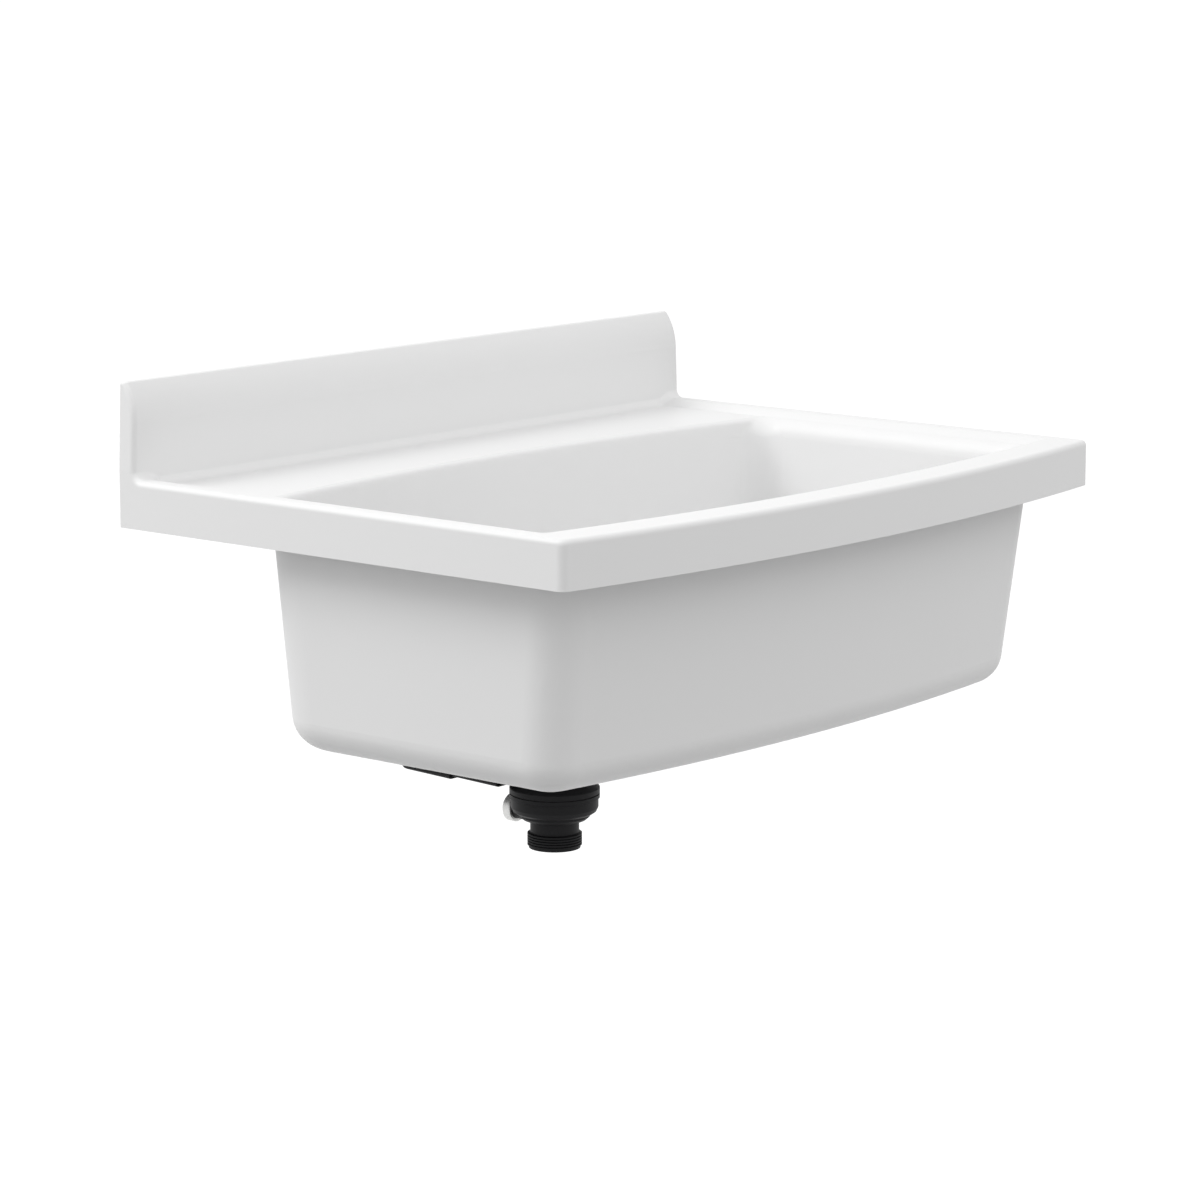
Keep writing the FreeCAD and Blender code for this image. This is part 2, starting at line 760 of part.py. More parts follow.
def make_basin():
    over = size("overrun")
    floor = size("bowl_depth")
    wall = size("bowl_wall")
    boss_low = -floor - wall - size("drain_boss")
    rim = rim_slab().cut(underside())
    outside = rim.fuse([
        upstand(),
        bowl_core(size("rim_crown") - size("skirt_wall"), floor + wall),
        drum(size("boss_radius"), boss_low, -floor),
        overflow_drum(size("overflow_boss_radius"), 0, size("overflow_boss")),
    ])
    shape = outside
    for part in bowl_hollow():
        shape = shape.cut(part)
    rise = size("overflow_rise")
    shape = shape.fuse([upstand_cove(), overflow_drum(size("overflow_boss_radius"), rise, wall)])
    shape = shape.cut([
        drum(size("drain_hole"), boss_low - over, -floor + over),
        drum(size("recess_radius"), -floor - size("drain_recess"), -floor + over),
        overflow_drum(size("overflow_hole"), over + rise, size("overflow_boss") + over),
        overflow_drum(size("overflow_seat"), over + rise, size("overflow_seat_depth") - rise),
    ])
    for side in (-1, 1):
        spot = Vector(side * size("bolt_spacing") / 2, over, -size("bolt_drop"))
        depth = size("skirt_wall") + 2 * over
        shape = shape.cut(Part.makeCylinder(size("bolt_hole"), depth, spot, Vector(0, -1, 0)))
    basin = doc.addObject("Part::Feature", "basin")
    basin.Label = "basin"
    basin.Shape = shape.removeSplitter()
    return basin


# Waste: stainless cup, seals, body, screw and nut

def make_waste_cup():
    body = new_body("waste_cup")
    foot = CUP_FLOOR + " - cup_sheet"
    under = SEAT + " + seal_height"
    add_turn(body, [
        ("screw_hole", foot),
        ("cup_radius - cup_sheet", foot),
        ("cup_radius", CUP_FLOOR),
        ("cup_radius", under),
        ("cup_flange", under),
        ("cup_flange", CUP_TOP + " - cup_sheet / 2"),
        ("cup_flange - cup_sheet / 2", CUP_TOP),
        ("cup_radius", CUP_TOP),
        ("cup_radius - cup_sheet", under),
        ("cup_radius - cup_sheet", CUP_FLOOR),
        ("screw_hole", CUP_FLOOR),
    ])
    port = circle_sketch(body, "XY_Plane", CUP_FLOOR + " + overrun", "cup_port_pitch", "0", "cup_port")
    repeat_round(body, cut_pocket(body, port, "cup_sheet + 2 * overrun"), CUP_PORTS)
    return stand_on_drain(body)


def make_ring(name, bore, radius, low, high):
    body = new_body(name)
    add_turn(body, [(bore, low), (radius, low), (radius, high), (bore, high)])
    return stand_on_drain(body)


def make_waste_body():
    body = new_body("waste_body")
    add_turn(body, [
        ("0", SKIRT_FOOT),
        ("body_radius", SKIRT_FOOT),
        ("body_radius", RING_FOOT),
        ("ring_radius", RING_FOOT),
        ("ring_radius", RING_TOP),
        ("ring_radius - union_gap / 2", CONE_FOOT),
        ("body_radius", CONE_TOP),
        ("body_radius", BODY_TOP + " - body_flange"),
        ("gasket_radius", BODY_TOP + " - body_flange"),
        ("gasket_radius", BODY_TOP),
        ("0", BODY_TOP),
    ])
    side = "duct_half_width"
    start = "stub_start - drain_out"
    run = "stub_start - stub_end"
    stub = outline_sketch(body, "XZ_Plane", start, box_points("-" + side, side, DUCT_FLOOR, DUCT_ROOF))
    add_pad(body, stub, run, True)
    round_edges(body, "duct_round", stub_edge)
    bore = circle_sketch(body, "XY_Plane", BODY_TOP, "0", "0", "body_bore")
    cut_pocket(body, bore, BODY_TOP + " - " + SKIRT_FOOT + " + overrun")
    inner = box_points("duct_wall - " + side, side + " - duct_wall", DUCT_FLOOR + " + duct_wall",
                       DUCT_ROOF + " - duct_wall")
    inside = outline_sketch(body, "XZ_Plane", start + " - duct_wall", inner)
    cut_pocket(body, inside, run)
    bar = box_points("-body_bore - union_gap", "body_bore + union_gap", "-bridge_width / 2", "bridge_width / 2")
    add_pad(body, outline_sketch(body, "XY_Plane", BRIDGE_FOOT, bar), "bridge_height")
    boss = circle_sketch(body, "XY_Plane", BRIDGE_FOOT, "0", "0", "bridge_boss")
    add_pad(body, boss, "boss_height")
    hole = circle_sketch(body, "XY_Plane", BRIDGE_FOOT + " - overrun", "0", "0", "screw_hole")
    cut_pocket(body, hole, "boss_height + 2 * overrun", True)
    nest = outline_sketch(body, "XY_Plane", BRIDGE_FOOT, hexagon("nut_flats + cap_clearance"))
    cut_pocket(body, nest, "nut_height", True)
    return stand_on_drain(body)


def stub_edge(edge):
    """The long outer edges of the duct stub."""
    return edge_run(edge, 1) > 0.99 and abs(edge.Vertexes[0].X) > size("body_radius")


def hexagon(flats):
    """A hexagon's corners, as expressions of the distance across its flats."""
    corners = []
    for index in range(6):
        angle = 60 * index
        corners.append(("(%s) / sqrt(3) * cos(%d deg)" % (flats, angle),
                        "(%s) / sqrt(3) * sin(%d deg)" % (flats, angle)))
    return corners


def make_centre_screw():
    body = new_body("centre_screw")
    head_top = CUP_FLOOR + " + screw_head_height"
    add_turn(body, [
        ("0", CUP_FLOOR + " - screw_length"),
        ("screw_radius", CUP_FLOOR + " - screw_length"),
        ("screw_radius", CUP_FLOOR),
        ("screw_head", CUP_FLOOR),
        ("screw_head", CUP_FLOOR + " + screw_head_height / 2"),
        ("screw_head - screw_slot", head_top),
        ("0", head_top),
    ])
    slot = box_points("-screw_head - overrun", "screw_head + overrun", "-screw_slot / 2", "screw_slot / 2")
    cut_pocket(body, outline_sketch(body, "XY_Plane", head_top, slot), "screw_slot")
    return stand_on_drain(body)


def make_screw_nut():
    body = new_body("screw_nut")
    add_pad(body, outline_sketch(body, "XY_Plane", BRIDGE_FOOT, hexagon("nut_flats")), "nut_height")
    hole = circle_sketch(body, "XY_Plane", BRIDGE_FOOT, "0", "0", "nut_bore")
    cut_pocket(body, hole, "nut_height + overrun", True)
    return stand_on_drain(body)


# Outlet: screwed cup, neck, thread and blanked spigot

def thread_points():
    """Trapezoid ridges down the outlet, given as (radius, height) expressions."""
    points = []
    for ridge in range(THREAD_RIDGES):
        top = THREAD_TOP + " - thread_pitch * %d" % ridge
        for radius, share in THREAD_RIDGE_SHARES:
            points.append((radius, top + " - thread_pitch * %g" % share))
    return points


def make_outlet_body():
    body = new_body("outlet_body")
    add_turn(body, [
        ("0", OUTLET_TOP),
        ("ring_radius", OUTLET_TOP),
        ("ring_radius", OUTLET_TOP + " - outlet_grip"),
        ("outlet_radius", OUTLET_TOP + " - outlet_grip - (ring_radius - outlet_radius) / 2"),
        ("outlet_radius", OUTLET_SHOULDER),
        ("outlet_radius - (outlet_radius - outlet_step) * 0.22", OUTLET_SHOULDER + " - shoulder_height * 0.55"),
        ("outlet_radius - (outlet_radius - outlet_step) * 0.62", OUTLET_SHOULDER + " - shoulder_height * 0.85"),
        ("outlet_step", STEP_TOP),
        ("outlet_step", STEP_FOOT),
        ("outlet_step - (outlet_step - neck_radius) * 0.3", STEP_FOOT + " - funnel_height * 0.55"),
        ("outlet_step - (outlet_step - neck_radius) * 0.75", STEP_FOOT + " - funnel_height * 0.88"),
        ("neck_radius", NECK_TOP),
        ("neck_radius", THREAD_TOP),
    ] + thread_points() + [
        ("thread_radius - thread_depth", THREAD_FOOT),
        ("0", THREAD_FOOT),
    ])
    spigot = circle_sketch(body, "XZ_Plane", "-pipe_bore", "0", SPIGOT_LEVEL, "spigot_radius")
    add_pad(body, spigot, "spigot_end - pipe_bore", True)
    cut_turn(body, [
        ("0", THREAD_FOOT + " - overrun"),
        ("pipe_bore", THREAD_FOOT + " - overrun"),
        ("pipe_bore", NECK_TOP + " + thread_depth"),
        ("outlet_step - duct_wall", STEP_TOP + " + thread_depth"),
        ("outlet_bore", OUTLET_SHOULDER),
        ("outlet_bore", OUTLET_TOP + " + overrun"),
        ("0", OUTLET_TOP + " + overrun"),
    ])
    bore = circle_sketch(body, "XZ_Plane", "-neck_radius - overrun", "0", SPIGOT_LEVEL, "spigot_bore")
    cut_pocket(body, bore, "spigot_end - neck_radius", False)
    return stand_on_drain(body)


def on_spigot(body):
    """Lay a turned piece along the spigot, so that its Z runs towards the wall."""
    body.Placement = Placement(Vector(0, 0, 0), Rotation(Vector(1, 0, 0), -90))
    stand_on_drain(body)
    body.setExpression("Placement.Base.z", bound(SPIGOT_LEVEL))
    return body


def make_spigot_disc():
    body = new_body("spigot_disc")
    add_turn(body, [
        ("0", "spigot_end"),
        ("spigot_radius", "spigot_end"),
        ("spigot_radius", "spigot_end + spigot_disc"),
        ("0", "spigot_end + spigot_disc"),
    ])
    return on_spigot(body)


def make_spigot_cap():
    body = new_body("spigot_cap")
    seat = "spigot_end + spigot_disc"
    end = seat + " + cap_end_wall"
    bore = "spigot_radius + cap_clearance"
    add_turn(body, [
        ("0", seat),
        (bore, seat),
        (bore, end + " - cap_length"),
        ("cap_radius - cap_bevel / 2", end + " - cap_length"),
        ("cap_radius", end + " - cap_length + cap_bevel / 2"),
        ("cap_radius", end + " - cap_bevel"),
        ("cap_radius - cap_bevel", end),
        ("0", end),
    ])
    return on_spigot(body)


# Strainer basket, which lifts out

def make_basket():
    body = new_body("strainer_basket")
    inner = "basket_radius - basket_sheet"
    add_turn(body, [
        ("0", BASKET_TOP + " - basket_depth"),
        (inner, BASKET_TOP + " - basket_depth"),
        ("basket_radius", BASKET_TOP + " - basket_depth + basket_sheet"),
        ("basket_radius", BASKET_TOP),
        ("basket_rim", BASKET_TOP),
        ("basket_rim", BASKET_TOP + " + basket_sheet"),
        (inner, BASKET_TOP + " + basket_sheet"),
        (inner, BASKET_TOP + " - basket_depth + basket_sheet"),
        ("0", BASKET_TOP + " - basket_depth + basket_sheet"),
    ])
    low = BASKET_TOP + " - basket_depth / 2 - basket_slot_height / 2"
    high = BASKET_TOP + " - basket_depth / 2 + basket_slot_height / 2"
    slot = box_points("-basket_slot / 2", "basket_slot / 2", low, high)
    cut = cut_pocket(body, outline_sketch(body, "XZ_Plane", "basket_radius + overrun", slot),
                     "2 * overrun + basket_sheet")
    repeat_round(body, cut, BASKET_SLOTS)
    return stand_on_drain(body)


def make_basket_seal():
    low = CUP_FLOOR + " + lift_clearance"
    return make_ring("basket_seal", "basket_seal_bore", "basket_seal_radius", low,
                     BASKET_TOP + " - basket_depth")


def make_basket_knob():
    body = new_body("basket_knob")
    floor = BASKET_TOP + " - basket_depth + basket_sheet"
    top = CUP_TOP + " + knob_rise"
    add_turn(body, [
        ("0", floor),
        ("knob_stem + knob_stem / 2", floor),
        ("knob_stem", floor + " + knob_stem"),
        ("knob_stem", top + " - knob_height"),
        ("knob_radius - knob_stem", top + " - knob_height * 0.6"),
        ("knob_radius", top + " - knob_height * 0.3"),
        ("knob_radius - knob_stem / 3", top + " - knob_height * 0.06"),
        ("knob_radius * 0.6", top),
        ("0", top),
    ])
    return stand_on_drain(body)


# Overflow duct: tapered flat sections under the bowl

def duct_section(body, nest, out, inset):
    """A rectangle across the duct, at a distance out from the wall."""
    spread = "(%s * %d + (%s - stub_end) * duct_taper_share - %s)" % (LAP, nest, out, inset)
    side = "duct_half_width + " + spread
    outline = box_points("-(" + side + ")", side, DUCT_FLOOR + " - " + spread, DUCT_ROOF + " + " + spread)
    return outline_sketch(body, "XZ_Plane", out + " - drain_out", outline)


def add_duct_block(body, nest, mouth, tail):
    """A tapered block whose wide mouth laps the section in front of it."""
    pad = add_pad(body, duct_section(body, nest, mouth, "0"), mouth + " - " + tail, True)
    pad.setExpression("TaperAngle", bound("-atan(duct_taper_share)"))
    doc.recompute()


def cut_duct_bore(body, nest, mouth, tail):
    pocket = cut_pocket(body, duct_section(body, nest, mouth, "duct_wall"), mouth + " - " + tail)
    pocket.setExpression("TaperAngle", bound("-atan(duct_taper_share)"))
    doc.recompute()


def long_edge(edge):
    return edge_run(edge, 1) > 0.9


def make_front_duct():
    """The section that laps the stub, notched round the waste body."""
    body = new_body("front_duct")
    add_duct_block(body, 1, "front_duct_mouth", "front_duct_tail")
    round_edges(body, "duct_round", long_edge)
    cut_duct_bore(body, 1, "(front_duct_mouth + overrun)", "(front_duct_tail - overrun)")
    notch = circle_sketch(body, "XY_Plane", DUCT_FLOOR + " + duct_half_width", "0", "0", "duct_notch")
    cut_pocket(body, notch, "2 * duct_half_width")
    return stand_on_drain(body)


def make_rear_duct():
    """The last flat section, with round plan corners and a narrow port behind."""
    body = new_body("rear_duct")
    add_duct_block(body, 2, "rear_duct_mouth", "rear_duct_tail")
    round_edges(body, "rear_duct_corner", rear_corner)
    round_edges(body, "duct_round", long_edge)
    cut_duct_bore(body, 2, "(rear_duct_mouth + overrun)", "(rear_duct_tail + rear_duct_corner)")
    side = "riser_half_width + duct_clearance"
    port = box_points("-(" + side + ")", side, DUCT_FLOOR, DUCT_ROOF)
    start = "rear_duct_tail + rear_duct_corner + overrun - drain_out"
    cut_pocket(body, outline_sketch(body, "XZ_Plane", start, port), "rear_duct_corner + 2 * overrun")
    return stand_on_drain(body)


def rear_corner(edge):
    """The upright corners at the closed end of the rear duct."""
    tail = size("drain_out") - size("rear_duct_tail")
    return edge_run(edge, 2) > 0.9 and abs(edge.Vertexes[0].Y - tail) < 1e-3 * size("drain_out")


# Riser behind the bowl, with its elbow

def on_wall(body):
    """Stand a piece on the wall face, in line with the drain."""
    body.setExpression("Placement.Base.x", bound("-drain_left"))
    return body


def riser_outline(grow):
    """The riser's plan outline, grown outwards by an expression."""
    side = "riser_half_width + " + grow
    front = RISER_FRONT + " - " + grow
    back = RISER_FRONT + " + riser_depth + " + grow
    return box_points("-(" + side + ")", side, front, back)


def make_riser():
    body = new_body("overflow_riser")
    foot = "(" + ELBOW_FOOT + " + elbow_height - riser_lap)"
    top = "(-overflow_drop - head_fall + riser_lap)"
    add_pad(body, outline_sketch(body, "XY_Plane", foot, riser_outline("0")), top + " - " + foot)
    hollow = outline_sketch(body, "XY_Plane", top + " + overrun", riser_outline("-riser_wall"))
    cut_pocket(body, hollow, top + " - " + foot + " + 2 * overrun")
    return on_wall(body)


def make_elbow():
    """Seats the riser's foot on a step in its top and plugs into the rear duct in front."""
    body = new_body("overflow_elbow")
    top = ELBOW_FOOT + " + elbow_height"
    block = outline_sketch(body, "XY_Plane", ELBOW_FOOT, riser_outline("(duct_clearance + elbow_wall)"))
    add_pad(body, block, "elbow_height")
    tip = "rear_duct_tail + elbow_lap"
    low = DUCT_FLOOR + " + duct_clearance"
    high = DUCT_ROOF + " - duct_clearance"
    neck = box_points("-riser_half_width", "riser_half_width", low, high)
    add_pad(body, outline_sketch(body, "XZ_Plane", tip, neck), tip + " + " + RISER_FRONT, True)
    round_edges(body, "elbow_round", elbow_heel)
    socket = outline_sketch(body, "XY_Plane", top, riser_outline("duct_clearance"))
    cut_pocket(body, socket, "riser_lap")
    well = outline_sketch(body, "XY_Plane", top, riser_outline("-riser_wall"))
    cut_pocket(body, well, "elbow_height - elbow_wall")
    inner = box_points("elbow_wall - riser_half_width", "riser_half_width - elbow_wall",
                       low + " + elbow_wall", high + " - elbow_wall")
    cut_pocket(body, outline_sketch(body, "XZ_Plane", tip + " + overrun", inner),
               tip + " + " + RISER_FRONT + " + riser_wall + 2 * overrun")
    return on_wall(body)


def elbow_heel(edge):
    """The low edge at the elbow's back."""
    middle = number(RISER_FRONT + " + riser_depth / 2")
    low = edge.BoundBox.ZMax < number(ELBOW_FOOT + " + elbow_wall / 2")
    return low and edge_run(edge, 0) > 0.9 and edge.BoundBox.YMin > middle


# Overflow inlet: grille, screw, seal and head

def behind_inlet(body):
    """Turn a piece's Z towards the wall and set it at the overflow's place."""
    body.Placement = Placement(Vector(0, 0, 0), Rotation(Vector(1, 0, 0), -90))
    body.setExpression("Placement.Base.x", bound("-drain_left"))
    body.setExpression("Placement.Base.y", bound(INLET))
    body.setExpression("Placement.Base.z", bound("-overflow_drop"))
    return body


def make_overflow_seal():
    body = new_body("overflow_seal")
    low = "overflow_boss"
    add_turn(body, [
        ("overflow_hole", low),
        ("head_flange", low),
        ("head_flange", low + " + overflow_seal_height"),
        ("overflow_hole", low + " + overflow_seal_height"),
    ])
    return behind_inlet(body)


def make_overflow_head():
    """A shallow box behind the wall, open below, with a round flange in front."""
    body = new_body("overflow_head")
    face = "overflow_boss + overflow_seal_height"
    inside = face + " + head_flange_height"
    side = "riser_half_width + duct_clearance"
    depth = "riser_depth + 2 * duct_clearance"
    flange = circle_sketch(body, "XY_Plane", face, "0", "0", "head_flange")
    add_pad(body, flange, "head_flange_height")
    walls = box_points("-(" + side + " + head_wall)", side + " + head_wall",
                       "-head_rise - head_wall", "head_fall")
    thickness = "head_flange_height + " + depth + " + head_wall"
    add_pad(body, outline_sketch(body, "XY_Plane", face, walls), thickness)
    hollow = box_points("-(" + side + ")", side, "-head_rise", "head_fall + overrun")
    cut_pocket(body, outline_sketch(body, "XY_Plane", inside + " + " + depth, hollow), depth)
    mouth = circle_sketch(body, "XY_Plane", inside, "0", "0", "overflow_hole")
    cut_pocket(body, mouth, "head_flange_height + overrun")
    post = circle_sketch(body, "XY_Plane", face, "0", "0", "head_post")
    add_pad(body, post, "head_flange_height + " + depth + " + head_wall / 2")
    bore = circle_sketch(body, "XY_Plane", face + " - overrun", "0", "0", "head_bore")
    cut_pocket(body, bore, "head_flange_height + " + depth + " + overrun", True)
    return behind_inlet(body)


def make_overflow_grille():
    body = new_body("overflow_grille")
    seat = "(overflow_seat_depth - overflow_rise)"
    add_turn(body, [
        ("head_bore", seat + " - grille_sheet - grille_dome"),
        ("grille_radius / 2", seat + " - grille_sheet - grille_dome * 0.8"),
        ("grille_radius - grille_sheet", seat + " - grille_sheet"),
        ("grille_radius", seat + " - grille_sheet / 2"),
        ("grille_radius", seat),
        ("grille_radius - grille_sheet", seat),
        ("grille_radius / 2", seat + " - grille_dome * 0.8"),
        ("head_bore", seat + " - grille_dome"),
    ])
    port = circle_sketch(body, "XY_Plane", seat + " + overrun", "grille_port_pitch", "0", "grille_port")
    repeat_round(body, cut_pocket(body, port, "grille_sheet + grille_dome + 2 * overrun"), GRILLE_PORTS)
    return behind_inlet(body)


def make_overflow_screw():
    body = new_body("overflow_screw")
    under = "(overflow_seat_depth - overflow_rise - grille_sheet - grille_dome)"
    top = under + " - overflow_screw_rise"
    add_turn(body, [
        ("0", under + " + overflow_screw_length"),
        ("overflow_screw", under + " + overflow_screw_length"),
        ("overflow_screw", under),
        ("overflow_screw_head", under),
        ("overflow_screw_head", under + " - overflow_screw_rise * 0.4"),
        ("overflow_screw_head * 0.6", top),
        ("0", top),
    ])
    slot = box_points("-screw_slot / 2", "screw_slot / 2",
                      "-overflow_screw_head - overrun", "overflow_screw_head + overrun")
    cut_pocket(body, outline_sketch(body, "XY_Plane", top, slot), "overflow_screw_rise / 2", True)
    return behind_inlet(body)


# Build, check and write

def pieces():
    made = [make_basin()]
    made.append(make_waste_cup())
    made.append(make_ring("flange_seal", "cup_flange - seal_width", "cup_flange - union_gap / 2",
                          SEAT, SEAT + " + seal_height"))
    made.append(make_ring("floor_gasket", "gasket_bore", "gasket_radius", BODY_TOP, BOSS_FACE))
    made.append(make_waste_body())
    made.append(make_centre_screw())
    made.append(make_screw_nut())
    made.append(make_ring("union_seal", "outlet_bore", "union_seal_radius", OUTLET_TOP, RING_FOOT))
    made.append(make_outlet_body())
    made.append(make_spigot_disc())
    made.append(make_spigot_cap())
    made.append(make_basket())
    made.append(make_basket_seal())
    made.append(make_basket_knob())
    made.append(make_front_duct())
    made.append(make_rear_duct())
    made.append(make_elbow())
    made.append(make_riser())
    made.append(make_overflow_head())
    made.append(make_overflow_seal())
    made.append(make_overflow_grille())
    made.append(make_overflow_screw())
    return made


def write(made):
    doc.recompute()
    for item in doc.Objects:
        if "Invalid" in item.State or "Error" in item.State:
            raise RuntimeError(item.Name + " failed: " + " ".join(item.State))
    os.makedirs("parts", exist_ok=True)
    for piece in made:
        shape = piece.Shape
        if shape.isNull() or not shape.isValid():
            raise RuntimeError(piece.Label + " is not a sound solid")
        shape.exportStep("parts/%s.step" % piece.Label)
        print("%-18s %2d solid %12.1f mm3" % (piece.Label, len(shape.Solids), shape.Volume))


write(pieces())
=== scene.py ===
# %% [markdown]
# A plastic utility sink in the studio
#
# The CAD frame already holds every piece at its true size, so this script adds what
# makes the pieces look like what they are: finishes, a plain stage, lamps and the
# photo's viewpoint. Each step below says what it does and why it was done that way.

# %% Load the frame
import json
import math

import bmesh
import bpy
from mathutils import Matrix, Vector

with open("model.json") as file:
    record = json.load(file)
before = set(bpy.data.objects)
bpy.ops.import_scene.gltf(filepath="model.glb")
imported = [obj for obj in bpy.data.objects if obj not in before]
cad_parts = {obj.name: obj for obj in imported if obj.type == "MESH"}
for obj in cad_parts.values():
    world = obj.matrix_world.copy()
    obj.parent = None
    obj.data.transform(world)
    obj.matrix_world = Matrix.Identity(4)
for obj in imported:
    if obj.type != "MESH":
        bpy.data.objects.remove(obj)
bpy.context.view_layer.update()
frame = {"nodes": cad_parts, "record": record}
node_slot = {entry["node"]: entry["material_slot"] for entry in frame["record"]["subparts"]}
print("nodes:", len(frame["nodes"]), "slots:", len(set(node_slot.values())))

# %% [markdown]
# Start a finish
#
# Each finish is a node tree round one Principled shader. A helper makes the tree and
# sets plain values on the shader's own sockets, so that a finish reads as a short list
# of facts. A second helper adds a node in one line, with its sockets filled in by name.

# %% Helpers for a new finish
finishes = {}


def new_finish(name, values):
    """A material whose Principled shader takes its constants from a table."""
    material = bpy.data.materials.new(name)
    material.use_nodes = True
    shader = material.node_tree.nodes["Principled BSDF"]
    for socket, value in values.items():
        shader.inputs[socket].default_value = value
    return material, material.node_tree, shader


def add_node(tree, kind, **values):
    """A node with its own settings, and its sockets filled in by name."""
    node = tree.nodes.new(kind)
    for name, value in values.items():
        if name in node.inputs:
            node.inputs[name].default_value = value
        else:
            setattr(node, name, value)
    return node


print("helpers for finishes ready")

# %% [markdown]
# Fine grain
#
# Moulded and turned surfaces are never quite smooth. A grain could be cut into the
# mesh, but it is far too fine for that, so a bump does it: it changes how the surface
# catches the light and leaves the outline alone. Object coordinates are in metres here,
# because every CAD node sits at the origin, and so one texture scale means the same
# grain on every piece. A stretch along one axis turns the grain into brushed lines.

# %% Helpers for grain
def object_place(tree, stretch=(1, 1, 1)):
    """Object coordinates, stretched where a grain has a direction."""
    coordinates = tree.nodes.new("ShaderNodeTexCoord")
    mapping = tree.nodes.new("ShaderNodeMapping")
    mapping.inputs["Scale"].default_value = stretch
    tree.links.new(coordinates.outputs["Object"], mapping.inputs["Vector"])
    return mapping.outputs["Vector"]


def add_grain(tree, shader, place, scale, height):
    """A fine surface grain, as a bump of a given height in metres."""
    noise = add_node(tree, "ShaderNodeTexNoise", Scale=scale, Detail=2)
    bump = add_node(tree, "ShaderNodeBump", Strength=1, Distance=height)
    tree.links.new(place, noise.inputs["Vector"])
    tree.links.new(noise.outputs["Fac"], bump.inputs["Height"])
    tree.links.new(bump.outputs["Normal"], shader.inputs["Normal"])


print("helpers for grain ready")

# %% [markdown]
# A sheen that wanders
#
# One roughness all over looks like a computer's idea of plastic. On a real moulding the
# sheen changes a little from place to place. A soft noise, brought between two limits,
# gives that without a picture. The plain number in a finish's table lies between the
# two, and is there for a viewer that can't follow the noise.

# %% Helper for a wandering sheen
def vary_roughness(tree, shader, place, scale, low, high):
    """Let the roughness wander between two limits over the surface."""
    noise = add_node(tree, "ShaderNodeTexNoise", Scale=scale, Detail=3)
    spread = add_node(tree, "ShaderNodeMapRange")
    spread.inputs["To Min"].default_value = low
    spread.inputs["To Max"].default_value = high
    tree.links.new(place, noise.inputs["Vector"])
    tree.links.new(noise.outputs["Fac"], spread.inputs["Value"])
    tree.links.new(spread.outputs["Result"], shader.inputs["Roughness"])


print("helper for sheen ready")

# %% [markdown]
# White moulded plastic
#
# The basin is satin rather than glossy: in the photo its edges shine softly and its
# faces show no mirror image. A roughness near 0.4 gives that. The colour is a plain
# white without a tint, at 0.8. A brighter one sends more light about in the bowl, which
# pales its corners. A darker one, 0.74, was tried with stronger lamps: it gave no more
# contrast, and the tops went past white. A trace of light under the skin would soften
# the rim, but the walls are about 5 mm thick and opaque, so it was left out. The grain
# is a fiftieth of a millimetre high at most, enough to break up the sheen close by and
# too fine to see from the camera.

# %% White plastic
material, tree, shader = new_finish("white_plastic", {
    "Base Color": (0.8, 0.8, 0.8, 1),
    "Roughness": 0.42,
    "IOR": 1.49,
})
place = object_place(tree)
add_grain(tree, shader, place, scale=900, height=0.00002)
vary_roughness(tree, shader, place, scale=14, low=0.39, high=0.46)
finishes["white_plastic"] = material
print("white plastic ready")

# %% [markdown]
# Black moulded plastic
#
# The waste, the outlet and the duct are black but not lightless: the photo shows soft
# grey sheens on the rings. The colour stays a little above zero. The sheen is kept low
# in two ways: the roughness is a little above the basin's, which spreads it, and the
# specular level is about a third of the usual, which dims it. Together they keep the
# rings dark, although a white stage stands all round for them to mirror.

# %% Black plastic
material, tree, shader = new_finish("black_plastic", {
    "Base Color": (0.01, 0.01, 0.011, 1),
    "Roughness": 0.51,
    "IOR": 1.5,
    "Specular IOR Level": 0.15,
})
place = object_place(tree)
add_grain(tree, shader, place, scale=1400, height=0.00001)
vary_roughness(tree, shader, place, scale=40, low=0.46, high=0.56)
finishes["black_plastic"] = material
print("black plastic ready")

# %% [markdown]
# Stainless steel
#
# The cup, the basket, the grille and the screws are pressed or turned steel. Noise
# stretched along one direction gives the fine brushed lines; the stretch runs round
# the upright axis, which suits the cup and the basket best, since those show most.

# %% Stainless steel
material, tree, shader = new_finish("stainless", {
    "Base Color": (0.6, 0.6, 0.59, 1),
    "Metallic": 1,
    "Roughness": 0.28,
})
place = object_place(tree, stretch=(1, 1, 9))
add_grain(tree, shader, place, scale=1200, height=0.000006)
vary_roughness(tree, shader, place, scale=260, low=0.22, high=0.34)
finishes["stainless"] = material
print("stainless steel ready")

# %% [markdown]
# Brass
#
# The nut that takes the centre screw is plain brass, held in the black body's bridge.
# It is a metal with a warm colour and nothing more, since only a sliver of it ever
# shows. The sheen wanders a little, as on a nut turned from bar.

# %% Brass
material, tree, shader = new_finish("brass_nut", {
    "Base Color": (0.72, 0.55, 0.26, 1),
    "Metallic": 1,
    "Roughness": 0.3,
})
vary_roughness(tree, shader, object_place(tree), scale=300, low=0.24, high=0.38)
finishes["brass_nut"] = material
print("brass ready")

# %% [markdown]
# Rubber
#
# The sealing rings and the basket's stopper are black rubber. What sets rubber apart
# from black plastic is that it hardly shines, so the roughness is high, and the grain
# scatters the little that is left. The colour is a touch paler than the plastic's.

# %% Rubber
material, tree, shader = new_finish("seal_rubber", {
    "Base Color": (0.03, 0.03, 0.032, 1),
    "Roughness": 0.75,
})
add_grain(tree, shader, object_place(tree), scale=1500, height=0.00002)
finishes["seal_rubber"] = material
print("rubber ready")

